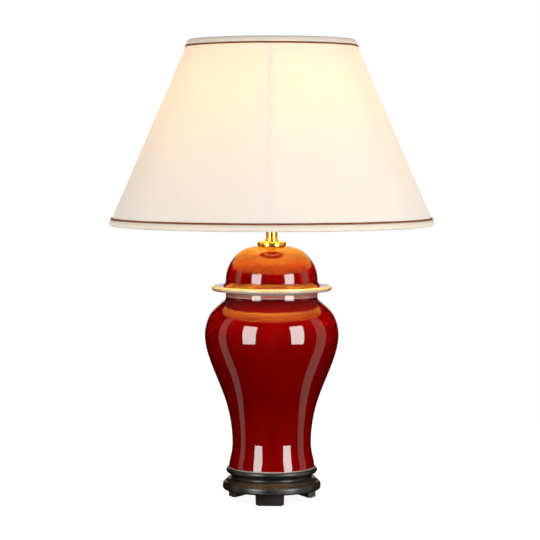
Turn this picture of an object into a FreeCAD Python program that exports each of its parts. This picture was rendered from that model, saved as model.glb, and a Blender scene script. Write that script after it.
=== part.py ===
import FreeCAD, Part
import math
import os

from FreeCAD import Vector

# Table lamp made from a lidded ginger jar on a dark wooden stand, with a brass
# stem, a screw lampholder, a shade carrier and a lined fabric shade.
# Millimetres, +Z up, origin on the lamp's axis where the feet stand.

# ---- stand ----
pad_height = 1.5
foot_top = 16.0
foot_inner, foot_outer, foot_width = 47.5, 61.0, 40.0
foot_taper = 0.5            # how much narrower each side of a foot is at the floor
foot_edge = 0.9             # rounding of the foot's upright edges
stand_turn = -2.7           # the stand is set a little clockwise, seen from above
base_top = 33.5
base_bore = 39.0            # hollow of the lower ring
base_radius = 69.4
# the lower ring's outline as (radius, height): a full bead, a groove, and a round shoulder
base_underside_edge, base_heel, base_side_low = (66.6, foot_top), (68.7, 16.9), (base_radius, 18.8)
base_side_high, base_bead, base_groove = (base_radius, 21.0), (68.2, 25.8), (64.7, 28.4)
base_round, base_shoulder = (62.1, 31.7), (58.0, base_top)
rim_top = 46.6
# the rim's outline as (radius, height): a narrow waist, a swelling side, and a rounded lip
rim_root, rim_waist, rim_underside = (57.2, base_top), (57.6, 36.5), (62.0, 39.0)
rim_side, rim_shoulder = (64.4, 42.1), (63.4, 45.7)
rim_lip, rim_inner_edge = (62.9, 46.4), (62.2, rim_top)
recess_radius, recess_floor = 61.2, 39.0
cover_radius, cover_thick = 46.5, 3.0
cover_gap = 0.2
pad_margin, pad_corner = 3.0, 2.0
screw_circle = 43.0
screw_head, screw_head_height, screw_shank, screw_length = 3.0, 2.0, 1.5, 12.0
screw_gap = 0.05
inlet_height = 25.0
inlet_bore, inlet_barrel, inlet_flange = 3.75, 5.5, 7.4
inlet_gap = 0.05            # between the bush and the ring, at the barrel and under the flange
inlet_flange_thick, inlet_flange_edge = 1.4, 0.7

# ---- jar and lid ----
jar_wall = 5.0
jar_foot_radius, jar_foot_inner = 60.3, 51.0
jar_floor_under, jar_floor_top = 44.0, 51.0
neck_radius, neck_bore = 65.0, 60.4
neck_root, neck_top = 287.0, 297.0
neck_fillet = (65.35, 285.7)   # where the shoulder turns up into the neck
jar_floor_corner = 8.0      # size of the rounded corner between floor and wall, inside
# the jar's outline from foot to shoulder, as radius and height
jar_outline = [(60.3, 46.5), (59.8, 54.5), (56.9, 67.2), (55.6, 82.0), (56.7, 101.4), (63.3, 135.6),
               (75.7, 169.8), (88.8, 203.9), (94.4, 233.0), (85.0, 266.5), (74.2, 277.6), (67.0, 283.6)]
flange_radius, flange_top = 85.0, 304.0
flange_round = 3.2
# the lid's outline from flange to the stem hole, as radius and height
lid_outline = [(65.2, 309.6), (64.7, 317.0), (61.1, 331.0), (54.0, 342.8), (41.6, 353.8),
               (24.0, 359.2), (6.2, 361.0)]
lid_wall = 4.5
lid_root, lid_fillet = (70.4, 304.0), (67.3, 306.5)    # the sloping foot of the dome, on the flange
skirt_inner, skirt_outer, skirt_bottom = 55.0, 59.4, 289.0

# ---- stem ----
rod_radius, rod_bore, rod_bottom, rod_top = 4.9, 3.5, 25.0, 440.0
rod_gap = 0.05              # between the rod and whatever is screwed on to it
stem_hole = 5.4             # holes that the rod passes through
nut_across, nut_height = 14.0, 4.5
lock_washer_inner, lock_washer_outer, lock_washer_height, lock_washer_split = 5.2, 8.5, 1.5, 1.2
washer_radius, washer_height = 20.0, 2.0
cap_washer_radius, cap_washer_gap = 9.0, 0.1
cap_radius, cap_bottom, cap_top = 20.3, 360.3, 366.2
cap_collar_radius, cap_collar_top = 9.1, 370.4
cap_sheet, cap_collar_edge = 1.2, 0.6
# the cap's outline as (radius, height): upright side, rounded edge, nearly flat top
cap_side_top, cap_edge, cap_edge_end = (cap_radius, 364.2), (19.75, 365.5), (18.3, 366.0)
cap_collar_foot = (9.7, cap_top)
cap_inside_corner, cap_inside_side = (18.0, 364.8), (cap_radius - cap_sheet, 363.8)
tube_radius, tube_bore, tube_top = 8.2, 5.4, 430.0

# ---- lampholder ----
cup_top = 452.0
cup_radius, cup_sheet, cup_neck_radius = 19.6, 1.2, 9.2
# the cup's outline as (radius, height), outside then inside
cup_neck_top, cup_flare, cup_flare_end = (cup_neck_radius, 436.0), (12.0, 441.5), (17.4, 444.0)
cup_corner, cup_side_low = (19.0, 444.9), (cup_radius, 446.6)
cup_inside = [(cup_radius - cup_sheet, 446.0), (16.8, 445.3), (9.2, 441.5), (7.8, 440.5)]
core_bottom, core_top, core_radius = 447.0, 464.0, 17.4
terminal_at, terminal_pocket, terminal_pocket_deep = 9.0, 3.2, 3.0
terminal_head, terminal_head_height, terminal_proud = 2.8, 2.0, 0.2
terminal_slot_wide, terminal_slot_deep = 0.7, 0.8
sleeve_radius, sleeve_bore, sleeve_top = 19.8, 17.8, 492.0
sleeve_lip, sleeve_lip_height, sleeve_plain = 15.2, 2.0, 1.0
shoulder_bottom, shoulder_top, shoulder_radius = 464.0, 466.0, 23.0
thread_pitch, thread_depth = 2.5, 0.8
contact_bore, contact_sheet, contact_short = 13.6, 0.5, 3.0
leaf_wide, leaf_thick, leaf_gap = 5.0, 0.4, 0.3
leaf_end, leaf_bend, leaf_tip = -11.0, -5.0, 3.0      # along X
bar_height, bar_radius, bar_half = 456.0, 2.5, 29.0
bar_gap = 0.06              # running clearance of the push bar in the core
bar_sleeve_gap = 0.6        # and in the sleeve
bar_edge, bar_offset = 1.2, 3.0
shade_ring_bottom, shade_ring_top, shade_ring_radius = 468.3, 474.5, 25.5
shade_ring_gap = 0.15
shade_ring_scallops, scallop_radius, scallop_out = 24, 1.3, 0.6

# ---- bulb, standard screw cap and 60 mm envelope ----
tip_bottom = 467.0
tip_flat, tip_radius, tip_round, tip_height = 3.6, 4.8, (4.5, 0.3), 1.8
tip_round_height = 1.2
insulator_low_radius, insulator_radius = 6.2, 10.6
cap_bore, cap_floor_inner, cap_floor_thick = 11.6, 10.7, 1.0
cap_thread_radius, cap_thread_pitch, cap_thread_depth = 13.2, 3.6, 0.9
cap_thread_bottom, cap_thread_top, cap_skirt_top = 472.0, 489.2, 495.0
cap_skirt_radius, cap_skirt_sheet, cap_skirt_flare = 14.0, 0.5, 2.5
globe_centre, globe_radius = 542.0, 30.0
globe_neck, globe_flare, glass_wall = 13.2, 40.0, 0.8
globe_side_angle = 20.0     # where on the globe each upper arc is measured
glass_bottom = 492.6
stem_radius, stem_waist, stem_waist_up, stem_gap = 3.0, 6.0, 4.5, 0.1
stem_base_height, stem_neck_up, stem_top = 0.8, 13.0, 524.0
filament_count, filament_radius, filament_top = 4, 0.9, 560.0
wheel_radius, wheel_thick, wheel_spread, wheel_eye = 6.5, 0.6, 5.4, 0.1
hub_radius, hub_spread = 4.6, 3.4

# ---- shade carrier ----
carrier_clear = 0.3
carrier_base_inner, carrier_base_outer, carrier_base_thick = 20.4, 26.5, 1.6
carrier_wire = 1.7
carrier_ring_inner, carrier_ring_outer = 45.5, 52.5
carrier_ring_bottom, carrier_ring_thick = 616.0, 1.6
carrier_lip_gap, carrier_lip_height, carrier_lip_thick = 0.6, 3.0, 1.0
carrier_shoulder, carrier_shoulder_up = 44.0, 8.0     # where each arm turns upright
carrier_arm_end, carrier_bend = 49.0, 8.0

# ---- shade ----
shade_bottom_radius, shade_bottom = 226.9, 393.6
shade_top_radius, shade_top = 117.3, 645.8
fabric_thick, lining_thick = 0.6, 0.5
strut_count, strut_wire, strut_turn = 6, 1.5, -1.0
ring_wire = 1.7
layer_gap = 0.05
binding_thick, binding_end = 1.5, 4.0
cloth_inset = 1.2           # how far the fabric and lining stop short of each ring's centre
binding_bottom_leg, binding_top_leg = 4.0, 5.3
piping_half, piping_thick = 1.25, 1.2     # a half-round cord, flat against the fabric
piping_bottom_at, piping_top_at = 5.3, 6.6
fitting_wire, fitting_radius = 1.7, 49.0
fitting_arm_wire, fitting_arm_count = 1.6, 3
fitting_knee = (55.0, 631.0)   # radius and height of the bend in each fitting arm
fitting_bend, fitting_out, fitting_gap = 7.0, 0.6, 0.05
arm_hole_gap = 0.1          # around each fitting arm where it passes through cloth

os.makedirs("parts", exist_ok=True)


def save(name, *solids):
    """Write one node; several solids go in as a group."""
    shape = solids[0] if len(solids) == 1 else Part.makeCompound(list(solids))
    for solid in shape.Solids:
        if not solid.isValid():
            raise ValueError(name + " has an invalid solid")
    print(name, len(shape.Solids), "solid(s)", round(shape.Volume / 1000.0, 2), "cm3")
    shape.exportStep("parts/" + name + ".step")


def at(radius, height):
    return Vector(radius, 0, height)


def line(a, b):
    return Part.LineSegment(at(*a), at(*b)).toShape()


def arc(a, middle, b):
    return Part.Arc(at(*a), at(*middle), at(*b)).toShape()


def smooth(points):
    """A smooth curve through a few (radius, height) points."""
    curve = Part.BSplineCurve()
    curve.interpolate([at(*p) for p in points])
    return curve.toShape()


def path(*points):
    """Straight edges through (radius, height) points."""
    return [line(a, b) for a, b in zip(points, points[1:])]


def turned(*edges):
    """A solid of revolution about Z from the edges of a closed outline."""
    flat = []
    for edge in edges:
        flat.extend(edge if isinstance(edge, list) else [edge])
    face = Part.Face(Part.Wire(flat))
    return face.revolve(Vector(0, 0, 0), Vector(0, 0, 1), 360).Solids[0]


def ring(inner, outer, bottom, top):
    """A plain ring or washer."""
    solid = Part.makeCylinder(outer, top - bottom, at(0, bottom))
    return solid.cut(Part.makeCylinder(inner, top - bottom, at(0, bottom)))


def torus(radius, height, wire):
    return Part.makeTorus(radius, wire, at(0, height))


def around(shape, angle):
    """A copy turned about the lamp's axis."""
    copy = shape.copy()
    copy.rotate(Vector(0, 0, 0), Vector(0, 0, 1), angle)
    return copy


def wire_along(points, wire, bend):
    """A round wire along (radius, height) points in the X-Z plane, with a bend at each inner point."""
    edges = []
    start = at(*points[0])
    for i in range(1, len(points) - 1):
        corner = at(*points[i])
        back = (at(*points[i - 1]) - corner).normalize()
        ahead = (at(*points[i + 1]) - corner).normalize()
        half = back.getAngle(ahead) / 2
        reach = bend / math.tan(half)
        first, last = corner + back * reach, corner + ahead * reach
        inward = (back + ahead).normalize()
        middle = corner + inward * (bend / math.sin(half) - bend)
        edges.append(Part.LineSegment(start, first).toShape())
        edges.append(Part.Arc(first, middle, last).toShape())
        start = last
    edges.append(Part.LineSegment(start, at(*points[-1])).toShape())
    spine = Part.Wire(edges)
    direction = at(*points[1]) - at(*points[0])
    circle = Part.Wire(Part.Circle(at(*points[0]), direction, wire).toShape())
    return spine.makePipeShell([circle], True, False).Solids[0]


def threaded(radius, depth, pitch, bottom, top, bore):
    """A hollow cylinder whose thread is drawn as round ridges."""
    count = int((top - bottom) / pitch)
    step = (top - bottom) / count
    edges = path((radius - depth, bottom), (bore, bottom), (bore, top), (radius - depth, top))
    for i in range(count):
        high, low = top - i * step, top - (i + 1) * step
        edges.append(arc((radius - depth, high), (radius, (high + low) / 2), (radius - depth, low)))
    return turned(edges)


# ---- stand ----

def upright_edges(block):
    return [e for e in block.Edges if abs(e.tangentAt(e.FirstParameter).z) > 0.9]


def foot(angle):
    """One carved foot block: wider at the top than on the floor."""
    half = foot_width / 2
    middle = (foot_inner + foot_outer) / 2
    deep = (foot_outer - foot_inner) / 2

    def outline(height, less):
        a, b = deep - less, half - less
        corners = [Vector(middle - a, -b, height), Vector(middle + a, -b, height),
                   Vector(middle + a, b, height), Vector(middle - a, b, height)]
        return Part.makePolygon(corners + corners[:1])

    block = Part.makeLoft([outline(pad_height, foot_taper), outline(foot_top, 0)], True, True)
    return around(block.makeFillet(foot_edge, upright_edges(block)), angle)


def foot_angles():
    return [-90 + stand_turn + 120 * i for i in range(3)]


def pad(angle):
    size = Vector(foot_outer - foot_inner - 2 * pad_margin, foot_width - 2 * pad_margin, pad_height)
    corner = Vector(foot_inner + pad_margin, -size.y / 2, 0)
    block = Part.makeBox(size.x, size.y, size.z, corner)
    return around(block.makeFillet(pad_corner, upright_edges(block)), angle)


def cover_screw(angle, extra=0.0):
    """A countersunk wood screw, or its hole when extra is the clearance."""
    solid = turned(path((0, foot_top), (screw_head + extra, foot_top),
                        (screw_shank + extra, foot_top + screw_head_height),
                        (screw_shank + extra, foot_top + screw_length + extra),
                        (0, foot_top + screw_length + extra), (0, foot_top)))
    solid.translate(Vector(screw_circle, 0, 0))
    return around(solid, angle)


def inlet_hole(radius, inner, outer):
    return Part.makeCylinder(radius, outer - inner, Vector(0, inner, inlet_height), Vector(0, 1, 0))


def stand_base_ring():
    cover_seat = cover_radius + cover_gap
    solid = turned(
        path((base_bore, base_top), (base_bore, foot_top + cover_thick),
             (cover_seat, foot_top + cover_thick), (cover_seat, foot_top), base_underside_edge),
        arc(base_underside_edge, base_heel, base_side_low),
        line(base_side_low, base_side_high),
        arc(base_side_high, base_bead, base_groove),
        arc(base_groove, base_round, base_shoulder),
        line(base_shoulder, (base_bore, base_top)))
    solid = solid.cut(inlet_hole(inlet_barrel + inlet_gap, base_bore - 2, base_radius + 2))
    for angle in foot_angles():
        solid = solid.cut(cover_screw(angle, screw_gap))
    return solid


def stand_rim():
    return turned(
        line((stem_hole, base_top), rim_root),
        arc(rim_root, rim_waist, rim_underside),
        arc(rim_underside, rim_side, rim_shoulder),
        arc(rim_shoulder, rim_lip, rim_inner_edge),
        path(rim_inner_edge, (recess_radius, rim_top), (recess_radius, recess_floor),
             (stem_hole, recess_floor), (stem_hole, base_top)))


def base_cover():
    solid = Part.makeCylinder(cover_radius, cover_thick, at(0, foot_top))
    for angle in foot_angles():
        solid = solid.cut(cover_screw(angle, screw_gap))
    return solid


def cord_bush():
    flange_inner = base_radius + inlet_gap
    flange_outer = flange_inner + inlet_flange_thick
    barrel = inlet_hole(inlet_barrel, base_bore - 1, flange_outer)
    flange = inlet_hole(inlet_flange, flange_inner, flange_outer)
    circles = [e for e in flange.Edges if e.Curve.TypeId == "Part::GeomCircle"]
    flange = flange.makeFillet(inlet_flange_edge, [max(circles, key=lambda e: e.CenterOfMass.y)])
    return barrel.fuse(flange).removeSplitter().cut(inlet_hole(inlet_bore, base_bore - 2, flange_outer + 1))


# ---- jar and lid ----

def jar_body():
    """The hollow jar, with a foot ring, a floor with a stem hole, and an upright neck."""
    inner = [(r - jar_wall, z) for r, z in jar_outline[2:-2]]
    wall_foot = inner[0][0]
    corner = jar_floor_corner
    corner_middle = corner * (1 - math.sqrt(0.5))
    shoulder_end = (neck_bore, neck_root - 4)
    return turned(
        path((jar_foot_inner, recess_floor), (jar_foot_radius, recess_floor), jar_outline[0]),
        smooth(jar_outline),
        arc(jar_outline[-1], neck_fillet, (neck_radius, neck_root)),
        path((neck_radius, neck_root), (neck_radius, neck_top), (neck_bore, neck_top), shoulder_end),
        smooth([shoulder_end] + inner[::-1]),
        line(inner[0], (wall_foot, jar_floor_top + corner)),
        arc((wall_foot, jar_floor_top + corner), (wall_foot - corner_middle, jar_floor_top + corner_middle),
            (wall_foot - corner, jar_floor_top)),
        path((wall_foot - corner, jar_floor_top), (stem_hole, jar_floor_top),
             (stem_hole, jar_floor_under), (jar_foot_inner, jar_floor_under),
             (jar_foot_inner, recess_floor)))


def lid_inside():
    """The lid's inner outline, from the skirt to the stem hole."""
    sides = [(r - lid_wall, z - lid_wall * 0.45) for r, z in lid_outline[1:3]]
    crown = [(r - lid_wall * 0.5, z - lid_wall) for r, z in lid_outline[3:6]]
    return [(skirt_inner, neck_top)] + sides + crown + [(stem_hole, lid_outline[-1][1] - lid_wall)]


def jar_lid():
    """The domed lid: a broad bull-nosed flange, and a skirt that drops inside the neck."""
    inner = lid_inside()
    edge = flange_radius - flange_round
    middle = (neck_top + flange_top) / 2
    return turned(
        path((skirt_inner, neck_top), (skirt_inner, skirt_bottom), (skirt_outer, skirt_bottom),
             (skirt_outer, neck_top), (edge, neck_top)),
        arc((edge, neck_top), (flange_radius, middle), (edge, flange_top)),
        line((edge, flange_top), lid_root),
        arc(lid_root, lid_fillet, lid_outline[0]),
        smooth(lid_outline),
        path(lid_outline[-1], (stem_hole, lid_outline[-1][1]), inner[-1]),
        smooth(inner[::-1]))


# ---- stem ----

def washer_bottom():
    return base_top - washer_height


def lock_washer():
    """A split spring washer."""
    top = washer_bottom()
    bottom = top - lock_washer_height
    split = Part.makeBox(lock_washer_outer + 1, lock_washer_split, lock_washer_height,
                         Vector(0, -lock_washer_split / 2, bottom))
    return ring(lock_washer_inner, lock_washer_outer, bottom, top).cut(split)


def rod_nut():
    bottom = washer_bottom() - lock_washer_height - nut_height
    corner_radius = nut_across / math.sqrt(3)
    corners = [around(Part.Vertex(corner_radius, 0, bottom), 60 * i).Point for i in range(7)]
    block = Part.Face(Part.makePolygon(corners)).extrude(Vector(0, 0, nut_height))
    return block.cut(Part.makeCylinder(rod_radius + rod_gap, nut_height, at(0, bottom)))


def vase_cap():
    """A spun brass cap: a low drum, closed on top, with a collar that takes the tube."""
    inside = cap_top - cap_sheet
    edge = cap_collar_edge
    return turned(
        path((cap_radius - cap_sheet, cap_bottom), (cap_radius, cap_bottom), cap_side_top),
        arc(cap_side_top, cap_edge, cap_edge_end),
        path(cap_edge_end, cap_collar_foot, (cap_collar_radius, cap_top + edge),
             (cap_collar_radius, cap_collar_top - edge), (cap_collar_radius - edge, cap_collar_top),
             (stem_hole, cap_collar_top), (stem_hole, inside), (cap_collar_radius, inside),
             cap_inside_corner, cap_inside_side, (cap_radius - cap_sheet, cap_bottom)))


def neck_tube():
    return ring(tube_bore, tube_radius, cap_collar_top, tube_top)


# ---- lampholder ----

def holder_cup():
    """The brass lower cup, screwed to the rod."""
    thread = rod_radius + rod_gap
    return turned(
        path((thread, tube_top), (cup_neck_radius, tube_top), cup_neck_top),
        arc(cup_neck_top, cup_flare, cup_flare_end),
        arc(cup_flare_end, cup_corner, cup_side_low),
        path(cup_side_low, (cup_radius, cup_top), (cup_radius - cup_sheet, cup_top), *cup_inside,
             (thread, cup_inside[-1][1]), (thread, tube_top)))


def push_bar_hole(radius):
    length = 2 * (bar_half + bar_offset)
    return Part.makeCylinder(radius, length, Vector(-length / 2, 0, bar_height), Vector(1, 0, 0))


def holder_core():
    """The insulating core, with the push bar's cross hole and two terminal pockets."""
    solid = Part.makeCylinder(core_radius, core_top - core_bottom, at(0, core_bottom))
    solid = solid.cut(push_bar_hole(bar_radius + bar_gap))
    for side in (-1, 1):
        place = Vector(0, side * terminal_at, core_bottom)
        solid = solid.cut(Part.makeCylinder(terminal_pocket, terminal_pocket_deep, place))
    return solid


def terminal_screw(side):
    low = core_bottom - terminal_proud
    head = Part.makeCylinder(terminal_head, terminal_head_height, Vector(0, side * terminal_at, low))
    slot = Part.makeBox(2 * terminal_head, terminal_slot_wide, terminal_slot_deep,
                        Vector(-terminal_head, side * terminal_at - terminal_slot_wide / 2, low))
    return head.cut(slot)


def holder_sleeve():
    """The outer sleeve: threaded for the shade ring above a broad shoulder."""
    root = sleeve_radius - thread_depth
    thread_bottom = shoulder_top + sleeve_plain
    thread_top = sleeve_top - sleeve_lip_height
    body = threaded(sleeve_radius, thread_depth, thread_pitch, thread_bottom, thread_top, sleeve_bore)
    plain = ring(sleeve_bore, root, shoulder_top, thread_bottom)
    shoulder = ring(sleeve_bore, shoulder_radius, shoulder_bottom, shoulder_top)
    skirt = ring(sleeve_bore, sleeve_radius, cup_top, shoulder_bottom)
    lip = ring(sleeve_lip, root, thread_top, sleeve_top)
    solid = skirt.multiFuse([shoulder, plain, body, lip]).removeSplitter()
    return solid.cut(push_bar_hole(bar_radius + bar_sleeve_gap)).Solids[0]


def centre_contact():
    """A bent leaf that presses up against the bulb's tip."""
    tip_height = tip_bottom - leaf_gap
    outline = [(leaf_end, core_top), (leaf_bend, core_top), (leaf_tip, tip_height - leaf_thick),
               (leaf_tip, tip_height), (leaf_bend, core_top + leaf_thick),
               (leaf_end, core_top + leaf_thick), (leaf_end, core_top)]
    wire = Part.makePolygon([Vector(x, -leaf_wide / 2, z) for x, z in outline])
    return Part.Face(wire).extrude(Vector(0, leaf_wide, 0))


def shade_ring():
    """The threaded ring that clamps the carrier, scalloped for the fingers."""
    solid = ring(sleeve_radius + shade_ring_gap, shade_ring_radius, shade_ring_bottom, shade_ring_top)
    scallop = Part.makeCylinder(scallop_radius, shade_ring_top - shade_ring_bottom,
                                at(shade_ring_radius + scallop_out, shade_ring_bottom))
    for i in range(shade_ring_scallops):
        solid = solid.cut(around(scallop, 360.0 * i / shade_ring_scallops))
    return solid


def switch_bar():
    """The push bar: a rod with rounded ends, pushed through to one side."""
    start = Vector(bar_offset - bar_half, 0, bar_height)
    rod = Part.makeCylinder(bar_radius, 2 * bar_half, start, Vector(1, 0, 0))
    return rod.makeFillet(bar_edge, [e for e in rod.Edges if e.Curve.TypeId == "Part::GeomCircle"])


# ---- bulb ----

def bulb_tip():
    corner = (tip_round[0], tip_bottom + tip_round[1])
    side = (tip_radius, tip_bottom + tip_round_height)
    top = tip_bottom + tip_height
    return turned(line((0, tip_bottom), (tip_flat, tip_bottom)),
                  arc((tip_flat, tip_bottom), corner, side),
                  path(side, (tip_radius, top), (0, top), (0, tip_bottom)))


def bulb_insulator():
    low, high = tip_bottom + tip_height, cap_thread_bottom + cap_floor_thick
    return turned(path((0, low), (insulator_low_radius, low), (insulator_radius, cap_thread_bottom),
                       (insulator_radius, high), (0, high), (0, low)))


def bulb_screw_shell():
    body = threaded(cap_thread_radius, cap_thread_depth, cap_thread_pitch,
                    cap_thread_bottom, cap_thread_top, cap_bore)
    floor = ring(cap_floor_inner, cap_bore, cap_thread_bottom, cap_thread_bottom + cap_floor_thick)
    inside = cap_skirt_radius - cap_skirt_sheet
    flare_top = cap_thread_top + cap_skirt_flare
    skirt = turned(path((cap_bore, cap_thread_top), (cap_thread_radius - cap_thread_depth, cap_thread_top),
                        (cap_skirt_radius, flare_top), (cap_skirt_radius, cap_skirt_top),
                        (inside, cap_skirt_top), (inside, flare_top + 0.1),
                        (cap_bore, cap_thread_top + cap_skirt_sheet), (cap_bore, cap_thread_top)))
    return body.multiFuse([floor, skirt]).removeSplitter().Solids[0]


def globe_points(inset):
    """Tangent points of the globe and its neck for a wall set in by inset."""
    radius, flare = globe_radius - inset, globe_flare + inset
    neck = globe_neck - inset
    flare_centre = neck + flare
    drop = math.sqrt((radius + flare) ** 2 - flare_centre ** 2)
    angle = math.atan2(drop, flare_centre)
    join = (radius * math.cos(angle), globe_centre - radius * math.sin(angle))
    half = angle / 2
    on_flare = (flare_centre - flare * math.cos(half), globe_centre - drop + flare * math.sin(half))
    start = (neck, globe_centre - drop)
    side_angle = math.radians(globe_side_angle)
    side = (radius * math.cos(side_angle), globe_centre + radius * math.sin(side_angle))
    return start, on_flare, join, side, (0, globe_centre + radius)


def bulb_glass():
    start, flare, join, side, top = globe_points(0)
    start_in, flare_in, join_in, side_in, top_in = globe_points(glass_wall)
    low = glass_bottom
    return turned(line((start[0], low), start), arc(start, flare, join), arc(join, side, top),
                  line(top, top_in), arc(top_in, side_in, join_in), arc(join_in, flare_in, start_in),
                  path(start_in, (start_in[0], low), (start[0], low)))


def bulb_stem():
    """The glass stem that carries the filaments."""
    wide = globe_neck - glass_wall - stem_gap
    base = (wide, glass_bottom + stem_base_height)
    neck = (stem_radius, glass_bottom + stem_neck_up)
    return turned(path((0, glass_bottom), (wide, glass_bottom), base),
                  arc(base, (stem_waist, glass_bottom + stem_waist_up), neck),
                  path(neck, (stem_radius, stem_top), (0, stem_top), (0, glass_bottom)))


def bulb_filaments():
    """Upright glowing filaments between a lower and an upper support wheel."""
    low = stem_top + 0.2
    rods_from = low + wheel_thick
    wheel = ring(wheel_eye, wheel_radius, low, rods_from)
    hub = Part.makeCylinder(hub_radius, wheel_thick, at(0, filament_top))
    start, end = at(wheel_spread, rods_from), at(hub_spread, filament_top)
    rod = Part.makeCylinder(filament_radius, (end - start).Length, start, end - start)
    rods = [around(rod, 45 + 360.0 * i / filament_count) for i in range(filament_count)]
    return wheel.multiFuse([hub] + rods).Solids[0]


# ---- shade carrier ----

def carrier_base_bottom():
    return shoulder_top + carrier_clear


def carrier_base_ring():
    bottom = carrier_base_bottom()
    return ring(carrier_base_inner, carrier_base_outer, bottom, bottom + carrier_base_thick)


def carrier_arm():
    """One arm: out from the base ring, then up and slightly outward to the top ring."""
    height = carrier_base_bottom() + carrier_base_thick / 2
    points = [(carrier_base_outer, height), (carrier_shoulder, height + carrier_shoulder_up),
              (carrier_arm_end, carrier_ring_bottom)]
    return wire_along(points, carrier_wire, carrier_bend)


def carrier_top_ring():
    """A flat ring with a raised lip that centres the shade's fitting."""
    bottom, top = carrier_ring_bottom, carrier_ring_bottom + carrier_ring_thick
    lip_top = top + carrier_lip_height
    lip_inner = carrier_ring_outer + carrier_lip_gap
    lip_outer = lip_inner + carrier_lip_thick
    return turned(path((carrier_ring_inner, bottom), (lip_outer, bottom), (lip_outer, lip_top),
                       (lip_inner, lip_top), (lip_inner, top), (carrier_ring_inner, top),
                       (carrier_ring_inner, bottom)))


# ---- shade: places on its side are given as (along, out) from the fabric's bottom edge ----

def slant_length():
    return math.hypot(shade_bottom_radius - shade_top_radius, shade_top - shade_bottom)


def on_side(along, out):
    """Radius and height of a place: along the slant from the bottom, and out from the fabric's face."""
    length = slant_length()
    lean = (shade_bottom_radius - shade_top_radius) / length
    rise = (shade_top - shade_bottom) / length
    return (shade_bottom_radius - along * lean + out * rise, shade_bottom + along * rise + out * lean)


def cone_skin(first, last, inner, outer):
    corners = [on_side(first, inner), on_side(last, inner), on_side(last, outer), on_side(first, outer)]
    return turned(path(*(corners + corners[:1])))


def ring_depth():
    return -(fabric_thick + layer_gap + ring_wire)


def frame_ring(along):
    radius, height = on_side(along, ring_depth())
    return torus(radius, height, ring_wire)


def frame_strut(angle):
    depth = -(fabric_thick + layer_gap + strut_wire)
    low = at(*on_side(ring_wire, depth))
    high = at(*on_side(slant_length() - ring_wire, depth))
    return around(Part.makeCylinder(strut_wire, (high - low).Length, low, high - low), angle)


def lining_face():
    """How far in the lining's outer face lies."""
    return -(fabric_thick + 2 * ring_wire + 3 * layer_gap)


def binding(end, leg, side):
    """Cloth folded over a ring: two legs and a rounded end. side is -1 at the bottom, 1 at the top."""
    outside, inside = binding_thick + layer_gap, lining_face() - lining_thick - layer_gap - binding_thick
    outer_gap, inner_gap = layer_gap, lining_face() - lining_thick - layer_gap
    middle = (outside + inside) / 2
    half = (outside - inside) / 2
    turn = end + side * (binding_end - half)
    leg_end = end - side * leg
    inner_half = half - binding_thick
    return turned(
        path(on_side(leg_end, outer_gap), on_side(leg_end, outside), on_side(turn, outside)),
        arc(on_side(turn, outside), on_side(turn + side * half, middle), on_side(turn, inside)),
        path(on_side(turn, inside), on_side(leg_end, inside), on_side(leg_end, inner_gap),
             on_side(turn, inner_gap)),
        arc(on_side(turn, inner_gap), on_side(turn + side * inner_half, middle), on_side(turn, outer_gap)),
        line(on_side(turn, outer_gap), on_side(leg_end, outer_gap)))


def piping(along):
    low, high = along - piping_half, along + piping_half
    crest = on_side(along, layer_gap + piping_thick)
    return turned(arc(on_side(low, layer_gap), crest, on_side(high, layer_gap)),
                  line(on_side(high, layer_gap), on_side(low, layer_gap)))


def fitting_height():
    return carrier_ring_bottom + carrier_ring_thick + carrier_clear + fitting_wire


def fitting_arm(wire):
    """One arm from the fitting ring up to the shade's top ring."""
    top_ring = on_side(slant_length(), ring_depth())
    end = (top_ring[0] - ring_wire - fitting_gap, top_ring[1])
    start = (fitting_radius + fitting_out, fitting_height() + fitting_wire)
    return wire_along([start, fitting_knee, end], wire, fitting_bend)


def fitting_angles():
    return [90 + 120 * i for i in range(fitting_arm_count)]


def clear_of_arms(solid):
    """Small holes where the fitting arms pass through a cloth layer."""
    for angle in fitting_angles():
        solid = solid.cut(around(fitting_arm(fitting_arm_wire + arm_hole_gap), angle))
    return solid.Solids[0]


def build_stand():
    for name, angle in zip(("foot_front", "foot_right", "foot_left"), foot_angles()):
        save(name, foot(angle))
    save("foot_pads", *[pad(angle) for angle in foot_angles()])
    save("stand_base_ring", stand_base_ring())
    save("stand_rim", stand_rim())
    save("base_cover", base_cover())
    save("cover_screws", *[cover_screw(angle) for angle in foot_angles()])
    save("cord_bush", cord_bush())


def build_jar():
    save("jar_body", jar_body())
    save("jar_lid", jar_lid())


def build_stem():
    save("threaded_rod", ring(rod_bore, rod_radius, rod_bottom, rod_top))
    save("rod_washer", ring(stem_hole, washer_radius, washer_bottom(), base_top))
    save("lock_washer", lock_washer())
    save("rod_nut", rod_nut())
    save("cap_washer", ring(stem_hole, cap_washer_radius, lid_outline[-1][1] + cap_washer_gap,
                            cap_top - cap_sheet - cap_washer_gap))
    save("vase_cap", vase_cap())
    save("neck_tube", neck_tube())


def build_lampholder():
    save("holder_cup", holder_cup())
    save("holder_core", holder_core())
    save("terminal_screws", terminal_screw(-1), terminal_screw(1))
    save("holder_sleeve", holder_sleeve())
    save("screw_contact", ring(contact_bore, contact_bore + contact_sheet,
                               core_top, sleeve_top - contact_short))
    save("centre_contact", centre_contact())
    save("shade_ring", shade_ring())
    save("switch_bar", switch_bar())


def build_bulb():
    save("bulb_tip", bulb_tip())
    save("bulb_insulator", bulb_insulator())
    save("bulb_screw_shell", bulb_screw_shell())
    save("bulb_glass", bulb_glass())
    save("bulb_stem", bulb_stem())
    save("bulb_filaments", bulb_filaments())


def build_carrier():
    save("carrier_base_ring", carrier_base_ring())
    save("carrier_arm_right", carrier_arm())
    save("carrier_arm_left", around(carrier_arm(), 180))
    save("carrier_top_ring", carrier_top_ring())


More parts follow.
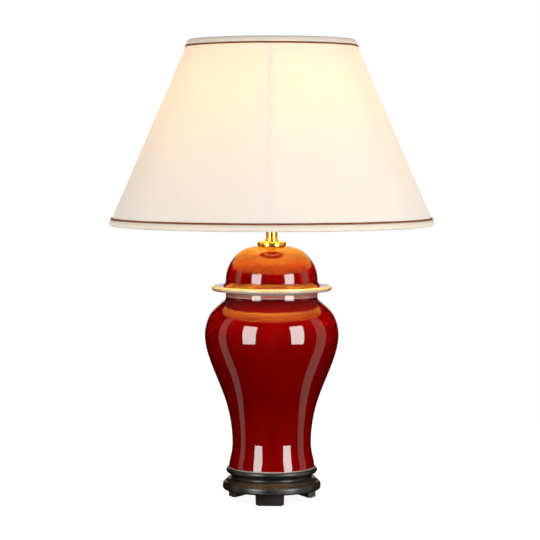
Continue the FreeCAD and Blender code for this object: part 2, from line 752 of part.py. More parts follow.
def build_shade():
    length = slant_length()
    lining_out = lining_face()
    save("frame_top_ring", frame_ring(length))
    save("frame_bottom_ring", frame_ring(0))
    save("frame_struts",
         *[frame_strut(-90 + strut_turn + 360.0 * i / strut_count) for i in range(strut_count)])
    save("fitting_ring", torus(fitting_radius, fitting_height(), fitting_wire))
    save("fitting_arms", *[around(fitting_arm(fitting_arm_wire), angle) for angle in fitting_angles()])
    low, high = cloth_inset, length - cloth_inset
    save("shade_fabric", cone_skin(low, high, -fabric_thick, 0))
    save("shade_lining", clear_of_arms(cone_skin(low, high, lining_out - lining_thick, lining_out)))
    save("bottom_binding", binding(0, binding_bottom_leg, -1))
    save("top_binding", clear_of_arms(binding(length, binding_top_leg, 1)))
    save("bottom_piping", piping(piping_bottom_at))
    save("top_piping", piping(length - piping_top_at))


build_stand()
build_jar()
build_stem()
build_lampholder()
build_bulb()
build_carrier()
build_shade()
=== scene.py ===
import math

import bpy
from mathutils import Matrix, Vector, noise


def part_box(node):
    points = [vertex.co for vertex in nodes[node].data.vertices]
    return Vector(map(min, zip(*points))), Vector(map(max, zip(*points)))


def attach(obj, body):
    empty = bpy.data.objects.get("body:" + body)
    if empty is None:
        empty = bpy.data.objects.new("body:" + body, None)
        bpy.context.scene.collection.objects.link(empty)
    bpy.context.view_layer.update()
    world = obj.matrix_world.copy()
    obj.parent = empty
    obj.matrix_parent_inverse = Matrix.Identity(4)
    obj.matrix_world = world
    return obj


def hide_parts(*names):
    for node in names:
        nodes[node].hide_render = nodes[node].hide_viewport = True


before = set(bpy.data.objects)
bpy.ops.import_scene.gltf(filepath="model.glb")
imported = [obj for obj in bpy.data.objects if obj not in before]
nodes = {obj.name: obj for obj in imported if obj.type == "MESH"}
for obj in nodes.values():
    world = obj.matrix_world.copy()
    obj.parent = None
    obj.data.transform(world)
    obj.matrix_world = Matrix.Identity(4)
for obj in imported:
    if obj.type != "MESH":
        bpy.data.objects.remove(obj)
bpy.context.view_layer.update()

MM = 0.001

# ---- camera: a long lens a little above the jar, pitched down slightly ----
CAMERA_DISTANCE = 2.886     # from the lamp's axis
CAMERA_HEIGHT = 0.5017
CAMERA_SIDE = -0.0024
CAMERA_PITCH = 3.489
SENSOR, LENS = 36.0, 136.67

# ---- shade ----
STRUTS = 6
STRUT_TURN = -91.0          # where the first strut stands, in degrees
AROUND = 432                # columns of mesh around the cloth
SHADE_MIDDLE_RADIUS = 0.172
COVER_SAG, LINING_SAG = 0.4 * MM, 0.5 * MM
CLOTH_INSET = 1.2 * MM      # from the ring's end of the shade to the cloth's edge

# ---- bindings: a strip of cloth folded over each ring ----
BINDING_OUTSIDE, BINDING_INSIDE = 1.55 * MM, -6.2 * MM
BINDING_REACH = 4.0 * MM    # from the shade's end to the fold
BINDING_THICK = 1.4 * MM
LOW_LEGS, HIGH_LEGS = 4.0 * MM, 5.3 * MM
LEG_EDGE = (0.0, 1.25 * MM), (0.2 * MM, 0.4 * MM), (0.9 * MM, 0.0)     # along the leg, and in from its face
OUTER_FOLD, INNER_FOLD = 12, 8

# ---- piping: two-ply cord ----
PLY_RADIUS, PLY_OFFSET = 0.92 * MM, 0.60 * MM
PLY_SIDES, STEPS_A_TURN = 8, 9
PLY_PITCH = 5.5 * MM
PIPING_OUT = 0.72 * MM      # from the cloth's face to the middle of the cord
PIPING_FLATNESS = 0.5       # how thick the piping is for its width
LOW_PIPING, HIGH_PIPING = 5.5 * MM, 6.8 * MM

# ---- lamp light ----
BULB_COLOUR = (1.0, 0.60, 0.20)
BULB_WATTS = 7.0
BULB_RADIUS = 0.012


# ---------------------------------------------------------------- materials

class Graph:
    """A material's nodes, with short ways to add and join them."""

    def __init__(self, name):
        self.material = bpy.data.materials.new(name)
        self.material.use_nodes = True
        self.tree = self.material.node_tree
        self.shader = self.tree.nodes["Principled BSDF"]
        self.output = self.tree.nodes["Material Output"]
        self.place = self.add("ShaderNodeTexCoord").outputs["Object"]
        parts = self.add("ShaderNodeSeparateXYZ")
        self.join(self.place, parts.inputs[0])
        self.x, self.y, self.z = parts.outputs

    def add(self, kind, **settings):
        node = self.tree.nodes.new(kind)
        for key, value in settings.items():
            setattr(node, key, value)
        return node

    def join(self, source, socket):
        """Links a socket, or sets a plain value."""
        if isinstance(source, bpy.types.NodeSocket):
            self.tree.links.new(source, socket)
        else:
            socket.default_value = source

    def math(self, operation, a, b=0.0, c=0.0):
        node = self.add("ShaderNodeMath", operation=operation)
        for value, socket in zip((a, b, c), node.inputs):
            self.join(value, socket)
        return node.outputs[0]

    def times(self, a, b):
        return self.math("MULTIPLY", a, b)

    def plus(self, a, b):
        return self.math("ADD", a, b)

    def radius(self):
        return self.math("SQRT", self.plus(self.times(self.x, self.x), self.times(self.y, self.y)))

    def angle(self):
        return self.math("ARCTAN2", self.y, self.x)

    def vector(self, x, y, z):
        node = self.add("ShaderNodeCombineXYZ")
        for value, socket in zip((x, y, z), node.inputs):
            self.join(value, socket)
        return node.outputs[0]

    def stretched(self, x, y, z):
        """Object coordinates scaled by axis, for grain and streaks."""
        node = self.add("ShaderNodeMapping")
        self.join(self.place, node.inputs["Vector"])
        node.inputs["Scale"].default_value = (x, y, z)
        return node.outputs[0]

    def noise(self, scale, detail=3.0, rough=0.5, place=None, distort=0.0):
        node = self.add("ShaderNodeTexNoise")
        self.join(place or self.place, node.inputs["Vector"])
        node.inputs["Scale"].default_value = scale
        node.inputs["Detail"].default_value = detail
        node.inputs["Roughness"].default_value = rough
        node.inputs["Distortion"].default_value = distort
        return node.outputs["Fac"]

    def smooth(self, value, low, high, to_low=0.0, to_high=1.0):
        """A smooth step from low to high."""
        node = self.add("ShaderNodeMapRange", interpolation_type="SMOOTHSTEP")
        for source, name in ((value, "Value"), (low, "From Min"), (high, "From Max"),
                             (to_low, "To Min"), (to_high, "To Max")):
            self.join(source, node.inputs[name])
        return node.outputs["Result"]

    def band(self, value, rise, fall):
        """1 between two soft edges, each given as (where it is 0, where it is 1)."""
        return self.times(self.smooth(value, *rise), self.smooth(value, *fall))

    def uneven(self, value, scale, reach):
        """A place moved to and fro by noise, so that an edge there isn't a clean line."""
        return self.plus(value, self.times(self.math("SUBTRACT", self.noise(scale, 2.0), 0.5), reach))

    def blend(self, factor, a, b):
        """Mixes two colours, given as (r, g, b) or sockets."""
        node = self.add("ShaderNodeMix", data_type="RGBA")
        self.join(factor, node.inputs["Factor"])
        for value, socket in ((a, node.inputs["A"]), (b, node.inputs["B"])):
            self.join(value if isinstance(value, bpy.types.NodeSocket) else (*value, 1.0), socket)
        return node.outputs["Result"]

    def bump(self, height, distance, strength=1.0, after=None):
        node = self.add("ShaderNodeBump")
        node.inputs["Strength"].default_value = strength
        node.inputs["Distance"].default_value = distance
        self.join(height, node.inputs["Height"])
        if after is not None:
            self.join(after, node.inputs["Normal"])
        return node.outputs["Normal"]

    def set(self, **values):
        """Principled inputs by name, with underscores for spaces."""
        for key, value in values.items():
            socket = self.shader.inputs[key.replace("_", " ")]
            if isinstance(value, tuple):
                value = (*value, 1.0)
            self.join(value, socket)
        return self


# where the jar's and lid's glaze changes, in metres: each is (none of it there, all of it there)
CROWN = (0.335, 0.352)
LEDGE = (0.3115, 0.3085), (0.3000, 0.3020)
NECK = (0.2886, 0.2900), (0.2968, 0.2962)
RIDGE = (0.2884, 0.2894), (0.2908, 0.2898)
MOUTH_LOW, MOUTH_HIGH = (0.2934, 0.2942), (0.2972, 0.2971)
FLANGE_FACE = (0.2960, 0.2970)
FLANGE_TOP = (0.3050, 0.3046)
FLANGE_RADIUS = (0.0815, 0.0832)
UNDERSIDE = (0.2974, 0.2971), (0.2960, 0.2969)
UNDERSIDE_RADIUS = (0.0652, 0.0656)
MOUTH_RADIUS = (0.0700, 0.0690)
FOOT = (0.0480, 0.0472)
SKIRT_LOW, SKIRT_HIGH = (0.280, 0.285), (0.304, 0.300)
SKIRT_RADIUS = (0.0640, 0.0630)


def glaze():
    """Oxblood glaze over pale porcelain: darker at the lid's crown and on the ledge above its flange, as
    painted shade, thin on the neck and around the flange, bare at the mouth, the skirt and the foot."""
    g = Graph("oxblood_glaze")
    radius = g.radius()
    patch = g.noise(9.0, 3.0, 0.55)
    streak = g.noise(1.0, 4.0, 0.6, place=g.stretched(60.0, 60.0, 5.0))
    fleck = g.noise(620.0, 1.0, 0.5)
    red = g.blend(g.smooth(patch, 0.3, 0.7), (0.205, 0.0008, 0.0008), (0.245, 0.0014, 0.0010))
    red = g.blend(g.smooth(streak, 0.45, 0.8, 0.0, 0.45), red, (0.120, 0.0004, 0.0004))
    red = g.blend(g.smooth(fleck, 0.70, 0.82, 0.0, 0.35), red, (0.30, 0.012, 0.006))
    # painted shade: the glaze is darkened at the lid's crown and on the ledge above its flange
    painted_shade = g.math("MAXIMUM", g.smooth(g.z, *CROWN), g.band(g.z, *LEDGE))
    red = g.blend(g.times(painted_shade, 0.8), red, (0.090, 0.0004, 0.0004))
    edge = g.uneven(g.z, 45.0, 0.0012)

    # the glaze thins to pink over the ridge below the mouth, and to cream around the flange
    thin_red, pale = (0.90, 0.29, 0.21), (0.95, 0.76, 0.72)
    mouth = g.times(g.smooth(edge, *MOUTH_LOW), g.smooth(g.z, *MOUTH_HIGH))
    colour = g.blend(g.band(edge, *NECK), red, thin_red)
    colour = g.blend(g.times(g.band(edge, *RIDGE), 0.75), colour, pale)
    rim = g.times(g.smooth(g.uneven(radius, 60.0, 0.0010), *FLANGE_RADIUS), g.smooth(g.z, *FLANGE_FACE))
    rim = g.times(rim, g.smooth(g.z, *FLANGE_TOP))
    cream = g.blend(g.smooth(g.noise(30.0, 3.0), 0.35, 0.7), (0.76, 0.60, 0.45), (0.82, 0.70, 0.58))
    colour = g.blend(rim, colour, cream)

    # bare porcelain: the flange's underside, the lid's skirt and inside, the jar's foot and inside
    under = g.times(g.band(g.z, *UNDERSIDE), g.smooth(radius, *UNDERSIDE_RADIUS))
    under = g.math("MAXIMUM", under, g.times(mouth, g.smooth(radius, *MOUTH_RADIUS)))
    skirt = g.times(g.smooth(g.z, *SKIRT_LOW), g.smooth(radius, *SKIRT_RADIUS))
    skirt = g.times(skirt, g.smooth(g.z, *SKIRT_HIGH))
    bare = g.math("MAXIMUM", g.math("MAXIMUM", under, g.smooth(edge, *FOOT)), skirt)
    # painted shade: the bare porcelain gets a darker grey than its own pale colour, as if lying in the
    # shade under the flange
    shaded_biscuit = g.blend(g.noise(180.0, 4.0), (0.40, 0.34, 0.28), (0.50, 0.44, 0.37))
    colour = g.blend(bare, colour, shaded_biscuit)

    wave = g.noise(26.0, 2.0, 0.4)
    peel = g.noise(240.0, 2.0, 0.5)
    grit = g.noise(1500.0, 2.0, 0.6)
    normal = g.bump(wave, 0.00005, 0.20)
    normal = g.bump(peel, 0.00001, 0.30, after=normal)
    normal = g.bump(g.times(grit, bare), 0.0002, 0.5, after=normal)
    smudge = g.smooth(g.noise(14.0, 4.0, 0.6), 0.35, 0.75, 0.025, 0.050)
    g.set(Base_Color=colour, Roughness=g.math("MAXIMUM", smudge, g.times(bare, 0.62)),
          IOR=1.62, Normal=normal)
    return g.material


# the stand's groove, as heights, and the part of it that faces the front, as places in y, where its brown
# is strengthened as painted light
GROOVE = (0.0266, 0.0276), (0.0296, 0.0286)
LIT_GROOVE_FRONT = (-0.040, -0.064)


def dark_wood():
    """Dark polished hardwood: straight grain, brown from wear in the groove, and browner still in front as
    painted light.
    """
    g = Graph("dark_wood")
    pores = g.noise(1.0, 5.0, 0.65, place=g.stretched(28.0, 420.0, 420.0))
    figure = g.noise(1.0, 3.0, 0.5, place=g.stretched(7.0, 70.0, 70.0), distort=0.6)
    colour = g.blend(g.smooth(figure, 0.3, 0.75), (0.0130, 0.0100, 0.0088), (0.0340, 0.0240, 0.0180))
    colour = g.blend(g.smooth(pores, 0.52, 0.75, 0.0, 0.7), colour, (0.0050, 0.0038, 0.0032))
    # the groove's brown: wear all round, made stronger at the front as painted light
    groove_wear_and_light = g.times(g.band(g.z, *GROOVE), g.smooth(g.noise(34.0, 3.0, 0.5), 0.20, 0.55))
    groove_wear_and_light = g.times(groove_wear_and_light, g.plus(g.times(g.smooth(g.y, *LIT_GROOVE_FRONT), 0.75), 0.25))
    colour = g.blend(groove_wear_and_light, colour, (0.046, 0.017, 0.004))
    rubbed = g.times(g.smooth(g.noise(90.0, 4.0, 0.7), 0.58, 0.78), 0.35)
    colour = g.blend(rubbed, colour, (0.034, 0.022, 0.016))
    scratch = g.noise(1.0, 3.0, 0.7, place=g.stretched(35.0, 35.0, 900.0))
    rough = g.smooth(g.noise(40.0, 4.0, 0.6), 0.3, 0.8, 0.28, 0.48)
    normal = g.bump(pores, 0.00012, 0.45)
    normal = g.bump(scratch, 0.00004, 0.35, after=normal)
    g.set(Base_Color=colour, Roughness=rough, Normal=normal, Coat_Weight=0.25, Coat_Roughness=0.28)
    return g.material


def metal(name, colour, dull, rough, lines=1400.0, line_depth=0.000012, wear=0.06, metallic=1.0):
    """Turned or drawn metal: fine lines around the axis, a little tarnish and handling marks."""
    g = Graph(name)
    turned = g.noise(1.0, 3.0, 0.6, place=g.vector(g.times(g.radius(), lines), 0.0,
                                                   g.times(g.z, lines)))
    tarnish = g.noise(55.0, 5.0, 0.62)
    marks = g.smooth(g.noise(160.0, 5.0, 0.7), 0.5, 0.8)
    base = g.blend(g.smooth(tarnish, 0.35, 0.80, 0.0, 0.6), colour, dull)
    base_rough = g.plus(g.times(marks, wear), rough)
    g.set(Base_Color=base, Metallic=metallic, Roughness=base_rough,
          Normal=g.bump(turned, line_depth, 0.5))
    return g.material


def enamel(name, colour, dirt, rough=0.32):
    """Coated wire or moulded parts: slight orange peel and faint dirt."""
    g = Graph(name)
    grime = g.smooth(g.noise(70.0, 5.0, 0.65), 0.45, 0.8, 0.0, 0.5)
    g.set(Base_Color=g.blend(grime, colour, dirt),
          Roughness=g.smooth(g.noise(220.0, 3.0), 0.3, 0.7, rough, rough + 0.15),
          Normal=g.bump(g.noise(700.0, 2.0), 0.00004, 0.4))
    return g.material


def felt():
    g = Graph("dark_felt")
    fibre = g.noise(2600.0, 4.0, 0.8)
    colour = g.blend(fibre, (0.010, 0.010, 0.012), (0.045, 0.043, 0.045))
    g.set(Base_Color=colour, Roughness=0.95, Sheen_Weight=0.3, Normal=g.bump(fibre, 0.0004, 0.8))
    return g.material


def clear_glass():
    g = Graph("bulb_glass_clear")
    g.set(Base_Color=(0.99, 0.98, 0.96), Roughness=0.0, IOR=1.45, Transmission_Weight=1.0,
          Normal=g.bump(g.noise(60.0, 2.0), 0.00005, 0.15))
    return g.material


def glowing():
    g = Graph("filament_glow")
    speck = g.noise(1500.0, 2.0)
    g.set(Base_Color=(0.9, 0.6, 0.25), Roughness=0.6,
          Emission_Color=g.blend(speck, (1.0, 0.50, 0.14), (1.0, 0.66, 0.28)), Emission_Strength=30.0)
    return g.material


def cloth(name, light, shadow, through, share, weave=2300.0, slub=0.5, sheen=0.2):
    """Plain woven cloth that passes some light; the threads run up and around the cone."""
    g = Graph(name)
    around = g.times(g.angle(), SHADE_MIDDLE_RADIUS)
    thread_u = g.math("SINE", g.times(around, weave * 2.0))
    thread_v = g.math("SINE", g.times(g.z, weave * 2.0))
    weave_height = g.times(thread_u, thread_v)
    slub_place = g.vector(g.times(around, 14.0), g.times(g.z, 420.0), 0.0)
    slubs = g.noise(1.0, 3.0, 0.6, place=slub_place)
    uneven = g.noise(12.0, 3.0, 0.5)
    colour = g.blend(g.smooth(slubs, 0.40, 0.75, 0.0, slub), light, shadow)
    colour = g.blend(g.smooth(uneven, 0.3, 0.8, 0.0, 0.35), colour, shadow)
    normal = g.bump(weave_height, 0.00006, 0.5)
    normal = g.bump(slubs, 0.00012, 0.4, after=normal)
    g.set(Base_Color=colour, Roughness=0.85, Sheen_Weight=sheen, Sheen_Roughness=0.5, Normal=normal)
    passing = g.add("ShaderNodeBsdfTranslucent")
    g.join((*through, 1.0), passing.inputs["Color"])
    g.join(normal, passing.inputs["Normal"])
    both = g.add("ShaderNodeMixShader")
    both.inputs[0].default_value = share
    g.join(g.shader.outputs[0], both.inputs[1])
    g.join(passing.outputs[0], both.inputs[2])
    g.join(both.outputs[0], g.output.inputs["Surface"])
    return g.material


def twisted_cord():
    g = Graph("rust_piping")
    strands = g.noise(3800.0, 3.0, 0.7)
    tone = g.noise(60.0, 3.0)
    colour = g.blend(g.smooth(tone, 0.3, 0.75), (0.165, 0.042, 0.008), (0.250, 0.072, 0.015))
    colour = g.blend(g.smooth(strands, 0.5, 0.8, 0.0, 0.5), colour, (0.090, 0.022, 0.005))
    g.set(Base_Color=colour, Roughness=0.7, Specular_IOR_Level=0.25, Sheen_Weight=0.1,
          Normal=g.bump(strands, 0.0002, 0.6))
    return g.material


# ---------------------------------------------------------------- placing things

def place_object(name, data):
    item = bpy.data.objects.new(name, data)
    bpy.context.scene.collection.objects.link(item)
    return item


def place_mesh(name, points, faces, smooth=False):
    mesh = bpy.data.meshes.new(name)
    mesh.from_pydata(points, [], faces)
    if smooth:
        mesh.shade_smooth()
    return place_object(name, mesh)


# ---------------------------------------------------------------- CAD nodes keep their shape

def dress(material, *names, bevel=0.0):
    """Gives CAD nodes a material and, where asked, a small rounding of their edges."""
    for name in names:
        item = nodes[name]
        item.data.materials.clear()
        item.data.materials.append(material)
        if bevel:
            rounding = item.modifiers.new("edge", "BEVEL")
            rounding.width = bevel
            rounding.segments = 2
            rounding.limit_method = "ANGLE"
            rounding.angle_limit = math.radians(40)
            rounding.harden_normals = True


def dress_cad_nodes():
    dress(glaze(), "jar_body", "jar_lid")
    wood = dark_wood()
    dress(wood, "stand_rim", "stand_base_ring", bevel=0.3 * MM)
    dress(wood, "foot_front", "foot_left", "foot_right", bevel=0.5 * MM)
    dress(felt(), "foot_pads", "base_cover", "cap_washer")
    steel = metal("zinc_steel", (0.60, 0.60, 0.61), (0.38, 0.38, 0.38), 0.30)
    dress(steel, "cover_screws", "rod_washer", "lock_washer", "rod_nut", "threaded_rod")
    dress(enamel("black_bush", (0.018, 0.018, 0.018), (0.05, 0.045, 0.04)), "cord_bush")
    polished = metal("polished_brass", (0.88, 0.54, 0.10), (0.72, 0.38, 0.06), 0.18, metallic=0.80)
    dress(polished, "vase_cap", "neck_tube")
    satin = metal("satin_brass", (0.82, 0.54, 0.16), (0.55, 0.34, 0.10), 0.20)
    dress(satin, "holder_cup", "holder_sleeve", "shade_ring")
    dress(enamel("holder_ceramic", (0.80, 0.78, 0.72), (0.50, 0.46, 0.40)), "holder_core")
    contact = metal("contact_brass", (0.80, 0.62, 0.32), (0.50, 0.36, 0.18), 0.26)
    dress(contact, "screw_contact", "centre_contact", "terminal_screws")
    dress(enamel("switch_plastic", (0.020, 0.014, 0.012), (0.06, 0.05, 0.04), 0.18), "switch_bar")
    bulb_cap = metal("bulb_cap_metal", (0.82, 0.82, 0.83), (0.55, 0.55, 0.55), 0.16)
    dress(bulb_cap, "bulb_screw_shell", "bulb_tip")
    dress(enamel("bulb_insulator_black", (0.008, 0.008, 0.010), (0.03, 0.03, 0.03), 0.10), "bulb_insulator")
    dress(clear_glass(), "bulb_glass", "bulb_stem")
    dress(glowing(), "bulb_filaments")
    wire = enamel("cream_wire", (0.74, 0.69, 0.58), (0.45, 0.40, 0.32))
    dress(wire, "carrier_base_ring", "carrier_top_ring", "carrier_arm_left", "carrier_arm_right",
          "fitting_ring", "fitting_arms", "frame_top_ring", "frame_bottom_ring", "frame_struts")
    nodes["bulb_glass"].visible_shadow = False
    nodes["bulb_stem"].visible_shadow = False


# ---------------------------------------------------------------- the shade's soft pieces

class Cone:
    """A cone's side, from a cloth node's own corners: places are along the slant and out from it."""

    def __init__(self, node):
        spots = [(math.hypot(v.co.x, v.co.y), v.co.z) for v in nodes[node].data.vertices]
        self.bottom = max(spots)
        self.top = max(spots, key=lambda spot: spot[1])
        self.length = math.dist(self.bottom, self.top)
        self.lean = (self.bottom[0] - self.top[0]) / self.length
        self.rise = (self.top[1] - self.bottom[1]) / self.length

    def at(self, angle, along, out):
        """along is in metres from the bottom edge; out is in metres from the cloth's face."""
        radius = self.bottom[0] - along * self.lean + out * self.rise
        height = self.bottom[1] + along * self.rise + out * self.lean
        return Vector((radius * math.cos(angle), radius * math.sin(angle), height))

    def mean_girth(self):
        return math.pi * (self.bottom[0] + self.top[0])


def wrapped_mesh(name, rows, columns, place, close_rows=False):
    """A grid wrapped around the axis: place(row, angle) gives each point."""
    points = [place(row, 2 * math.pi * column / columns)
              for row in range(rows) for column in range(columns)]
    faces = []
    for row in range(rows if close_rows else rows - 1):
        above = (row + 1) % rows
        for column in range(columns):
            after = (column + 1) % columns
            faces.append((row * columns + column, row * columns + after,
                          above * columns + after, above * columns + column))
    return place_mesh(name, points, faces, smooth=True)


def near_strut(angle):
    """1 on a strut, falling to 0 halfway between two."""
    turns = (math.degrees(angle) - STRUT_TURN) / (360 / STRUTS)
    return abs(2 * (turns - math.floor(turns)) - 1)


def wobble(angle, along, scale, seed):
    """Smooth seeded unevenness around the shade, from -1 to 1."""
    place = Vector((math.cos(angle) * scale, math.sin(angle) * scale, along * scale * 6 + seed))
    return noise.noise(place)


def finish_soft(item, material, slot, *replaced):
    item.data.materials.append(material)
    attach(item, "shade")
    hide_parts(*replaced)


def stretched_cloth(name, node, material, slot, sag, inward=1.0, rows=72):
    """Cloth pulled tight over the struts: straight up each strut, a little slack between them."""
    cone = Cone(node)

    def place(row, angle):
        share = row / (rows - 1)
        along = share * cone.length
        slack = math.sin(math.pi * share) * (1 - near_strut(angle) ** 3)
        ripple = wobble(angle, along, 5.0, 3.0) * 0.25 * MM * math.sin(math.pi * share)
        return cone.at(angle, along, -inward * sag * slack + ripple)

    item = wrapped_mesh(name, rows, AROUND, place)
    finish_soft(item, material, slot, node)
    return item, cone


def binding(name, node, cone, end, side, legs, material):
    """A strip of cloth folded over a ring: rounded, a little uneven, puckered where it was sewn."""
    middle, half = (BINDING_OUTSIDE + BINDING_INSIDE) / 2, (BINDING_OUTSIDE - BINDING_INSIDE) / 2
    turn = end + side * (BINDING_REACH - half)
    leg_end = end - side * legs
    section = [(leg_end + side * up, BINDING_OUTSIDE - deep) for up, deep in LEG_EDGE]
    for i in range(OUTER_FOLD + 1):
        a = math.pi * i / OUTER_FOLD
        section.append((turn + side * half * math.sin(a), middle + half * math.cos(a)))
    section += [(leg_end + side * up, BINDING_INSIDE + deep) for up, deep in reversed(LEG_EDGE)]
    inner = half - BINDING_THICK
    for i in range(INNER_FOLD + 1):
        a = math.pi * (INNER_FOLD - i) / INNER_FOLD
        section.append((turn + side * inner * math.sin(a), middle + inner * math.cos(a)))
    rows = len(section)

    def place(row, angle):
        along, out = section[row]
        pucker = wobble(angle, along, 46.0, 9.0) * 0.22 * MM + wobble(angle, along, 9.0, 5.0) * 0.25 * MM
        edge = wobble(angle, 0.0, 14.0, 21.0) * 0.25 * MM
        return cone.at(angle, along + edge, out + pucker * (1 if out > middle else -1) - 0.15 * MM)

    item = wrapped_mesh(name, rows, AROUND * 2, place, close_rows=True)
    finish_soft(item, material, "trim", node)
    return item


def twisted_piping(name, node, cone, along, material):
    """Two-ply cord laid around the shade beside a binding."""
    radius = cone.at(0.0, along, 0.0).x
    turns = round(2 * math.pi * radius / PLY_PITCH)
    steps = turns * STEPS_A_TURN
    points, faces = [], []
    for strand in range(2):
        base = len(points)
        for step in range(steps):
            angle = 2 * math.pi * step / steps
            phase = 2 * math.pi * turns * step / steps + math.pi * strand
            drift = wobble(angle, along, 4.0, 17.0) * 0.25 * MM
            centre_along = along + PLY_OFFSET * math.cos(phase) + drift
            centre_out = PIPING_OUT + PLY_OFFSET * PIPING_FLATNESS * math.sin(phase)
            for side in range(PLY_SIDES):
                turn = 2 * math.pi * side / PLY_SIDES
                points.append(cone.at(angle, centre_along + PLY_RADIUS * math.cos(turn),
                                      centre_out + PLY_RADIUS * PIPING_FLATNESS * math.sin(turn)))
        for step in range(steps):
            here, there = base + step * PLY_SIDES, base + (step + 1) % steps * PLY_SIDES
            for side in range(PLY_SIDES):
                after = (side + 1) % PLY_SIDES
                faces.append((here + side, there + side, there + after, here + after))
    item = place_mesh(name, points, faces, smooth=True)
    finish_soft(item, material, "piping", node)
    return item


def make_shade():
    outer = cloth("shade_cream", (0.86, 0.85, 0.84), (0.81, 0.79, 0.76), (0.86, 0.90, 0.72), 0.22)
    inner = cloth("lining_gold", (0.86, 0.70, 0.22), (0.80, 0.63, 0.18), (0.92, 0.80, 0.60), 0.20,
                  slub=0.2, sheen=0.4)
    trim = cloth("binding_cream", (0.86, 0.76, 0.64), (0.77, 0.67, 0.55), (0.90, 0.76, 0.58), 0.14,
                 weave=1800.0)
    rust = twisted_cord()
    fabric, face = stretched_cloth("shade_cover", "shade_fabric", outer, "shade_cloth", COVER_SAG)
    lining, lining_face = stretched_cloth("shade_inner", "shade_lining", inner, "shade_lining",
                                          LINING_SAG, inward=-1.0)
    low_end, high_end = -CLOTH_INSET, face.length + CLOTH_INSET
    low_binding = binding("lower_binding", "bottom_binding", face, low_end, -1, LOW_LEGS, trim)
    high_binding = binding("upper_binding", "top_binding", face, high_end, 1, HIGH_LEGS, trim)
    low_piping = twisted_piping("lower_piping", "bottom_piping", face, low_end + LOW_PIPING, rust)
    high_piping = twisted_piping("upper_piping", "top_piping", face, high_end - HIGH_PIPING, rust)
    mean_girth = face.mean_girth()
    mean_girth = lining_face.mean_girth()
    return [fabric, lining, low_binding, high_binding, low_piping, high_piping]


# ---------------------------------------------------------------- studio

PANEL_DISTANCE, PANEL_MIDDLE = 2.0, 0.25
JAR_LAMP_SIZE, SHADE_LAMP_SIZE = 1.2, 0.9
JAR_AIM, SHADE_AIM = 0.35, 0.5
FLOOR_HALF = 6.0


def place_panel(name, azimuth, low, high, width, colour, strength, foot=1.0):
    """A glowing panel that shows only in reflections. Angles are in degrees, seen from the jar:
    azimuth from the front to the right, low and high from level, and width across.
    foot is the lower edge's width as a share of the upper edge's."""
    bottom = Vector((0, 0, PANEL_MIDDLE + PANEL_DISTANCE * math.tan(math.radians(low))))
    top = Vector((0, 0, PANEL_MIDDLE + PANEL_DISTANCE * math.tan(math.radians(high))))
    half = PANEL_DISTANCE * math.tan(math.radians(width / 2))
    a = math.radians(azimuth)
    centre = Vector((math.sin(a) * PANEL_DISTANCE, -math.cos(a) * PANEL_DISTANCE, 0))
    across = Vector((math.cos(a), math.sin(a), 0))
    corners = [centre - across * half * foot + bottom, centre + across * half * foot + bottom,
               centre + across * half + top, centre - across * half + top]
    panel = place_mesh(name, corners, [(0, 1, 2, 3)])
    material = bpy.data.materials.new(name)
    material.use_nodes = True
    tree = material.node_tree
    tree.nodes.clear()
    glow = tree.nodes.new("ShaderNodeEmission")
    glow.inputs["Color"].default_value = (*colour, 1.0)
    glow.inputs["Strength"].default_value = strength
    out = tree.nodes.new("ShaderNodeOutputMaterial")
    tree.links.new(glow.outputs[0], out.inputs["Surface"])
    panel.data.materials.append(material)
    panel.visible_camera = False
    panel.visible_diffuse = False
    panel.visible_transmission = False
    panel.visible_shadow = False


def area_light(name, azimuth, height, distance, size, watts, aim):
    """A soft light that isn't seen in reflections, turned to a height on the lamp's axis."""
    data = bpy.data.lights.new(name, "AREA")
    data.shape, data.size, data.energy = "DISK", size, watts
    lamp = place_object(name, data)
    a = math.radians(azimuth)
    lamp.location = (math.sin(a) * distance, -math.cos(a) * distance, height)
    lamp.rotation_mode = "QUATERNION"
    lamp.rotation_quaternion = (lamp.location - Vector((0, 0, aim))).to_track_quat("Z", "Y")
    lamp.visible_camera = False
    lamp.visible_glossy = False
    return lamp


def light_group(name, pieces, state):
    """A list of pieces that a light keeps to, or leaves out."""
    group = bpy.data.collections.new(name)
    for piece in pieces:
        group.objects.link(piece)
    for entry in group.collection_objects:
        entry.light_linking.link_state = state
    return group


def bulb_light():
    low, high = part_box("bulb_filaments")
    data = bpy.data.lights.new("bulb_light", "POINT")
    data.energy, data.color, data.shadow_soft_size = BULB_WATTS, BULB_COLOUR, BULB_RADIUS
    lamp = place_object("bulb_light", data)
    lamp.location = (low + high) / 2
    lamp.visible_camera = False


def white_world():
    """White behind the lamp; a dimmer white for diffuse light; dark in reflections."""
    world = bpy.data.worlds.new("studio")
    bpy.context.scene.world = world
    world.use_nodes = True
    tree = world.node_tree
    tree.nodes.clear()
    seen = tree.nodes.new("ShaderNodeLightPath")
    strength = tree.nodes.new("ShaderNodeMix")
    strength.inputs["A"].default_value = 0.20
    strength.inputs["B"].default_value = 1.0
    backdrop = tree.nodes.new("ShaderNodeBackground")
    backdrop.inputs["Color"].default_value = (1, 1, 1, 1)
    out = tree.nodes.new("ShaderNodeOutputWorld")
    tree.links.new(seen.outputs["Is Camera Ray"], strength.inputs["Factor"])
    tree.links.new(strength.outputs["Result"], backdrop.inputs["Strength"])
    tree.links.new(backdrop.outputs[0], out.inputs["Surface"])
    world.cycles_visibility.glossy = False


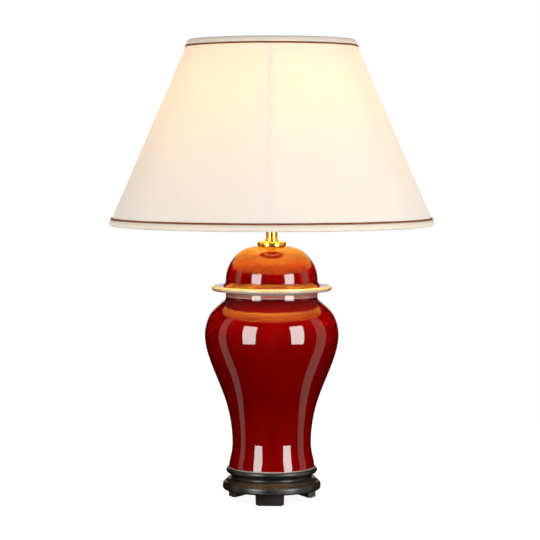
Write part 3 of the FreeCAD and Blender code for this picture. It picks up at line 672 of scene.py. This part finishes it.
def pale_floor():
    """A pale floor that fades into the backdrop with distance."""
    corners = [(FLOOR_HALF * x, FLOOR_HALF * y, 0) for x, y in ((-1, -1), (1, -1), (1, 1), (-1, 1))]
    floor = place_mesh("floor", corners, [(0, 1, 2, 3)])
    g = Graph("pale_floor")
    speckle = g.noise(40.0, 3.0)
    g.set(Base_Color=g.blend(speckle, (0.20, 0.203, 0.206), (0.24, 0.243, 0.246)), Roughness=0.9,
          Specular_IOR_Level=0.0, Emission_Color=(0.98, 0.99, 1.0), Emission_Strength=0.93)
    clear = g.add("ShaderNodeBsdfTransparent")
    both = g.add("ShaderNodeMixShader")
    g.join(g.smooth(g.radius(), 0.35, 1.6), both.inputs[0])
    g.join(g.shader.outputs[0], both.inputs[1])
    g.join(clear.outputs[0], both.inputs[2])
    g.join(both.outputs[0], g.output.inputs["Surface"])
    floor.data.materials.append(g.material)
    floor.visible_glossy = False
    floor.visible_diffuse = False


def make_studio(shade_pieces):
    white_world()
    pale_floor()
    bulb_light()
    softbox = {"low": -13.5, "high": 27.5, "width": 26.0, "foot": 0.84}
    place_panel("softbox_left", -38.5, colour=(0.92, 1.0, 1.0), strength=9.6, **softbox)
    place_panel("softbox_right", 44.5, colour=(0.93, 1.0, 1.0), strength=10.4, **softbox)
    strip = {"low": -60.0, "high": 36.0, "colour": (1.0, 0.84, 0.76), "strength": 0.66}
    place_panel("side_left", -92.0, width=18.0, **strip)
    place_panel("side_right", 93.0, width=24.0, **strip)
    place_panel("backdrop_low", 180.0, low=-4.0, high=14.0, width=36.0,
                colour=(1.0, 0.96, 0.96), strength=0.80)
    not_shade = light_group("all_but_shade", shade_pieces, "EXCLUDE")
    for name, azimuth, height, distance, watts in (("front_left", -36.0, 1.8, 2.1, 26.0),
                                                   ("front_right", 45.0, 1.8, 2.1, 38.0),
                                                   ("front", 6.0, 0.42, 2.4, 17.5),
                                                   ("back", 180.0, 1.8, 2.4, 22.0)):
        lamp = area_light(name, azimuth, height, distance, JAR_LAMP_SIZE, watts, JAR_AIM)
        lamp.light_linking.receiver_collection = not_shade
    outside = [piece for piece in shade_pieces if piece.name != "shade_inner"]
    shade_only = light_group("shade_only", outside, "INCLUDE")
    for name, azimuth, height, distance, watts in (("shade_left", -60.0, 0.3, 1.6, 12.5),
                                                   ("shade_right", 60.0, 0.3, 1.6, 18.5),
                                                   ("shade_front", -4.0, 0.3, 1.7, 14.0),
                                                   ("shade_back_left", -140.0, 0.3, 1.6, 9.0),
                                                   ("shade_back_right", 140.0, 0.3, 1.6, 9.0)):
        lamp = area_light(name, azimuth, height, distance, SHADE_LAMP_SIZE, watts, SHADE_AIM)
        lamp.light_linking.receiver_collection = shade_only


def make_camera():
    data = bpy.data.cameras.new("camera")
    data.lens, data.sensor_width = LENS, SENSOR
    data.clip_start, data.clip_end = 0.05, 50.0
    camera = place_object("camera", data)
    camera.location = (CAMERA_SIDE, -CAMERA_DISTANCE, CAMERA_HEIGHT)
    camera.rotation_euler = (math.radians(90 - CAMERA_PITCH), 0, 0)
    bpy.context.scene.camera = camera
    bpy.context.scene.view_settings.view_transform = "Standard"


make_camera()
dress_cad_nodes()
make_studio(make_shade())
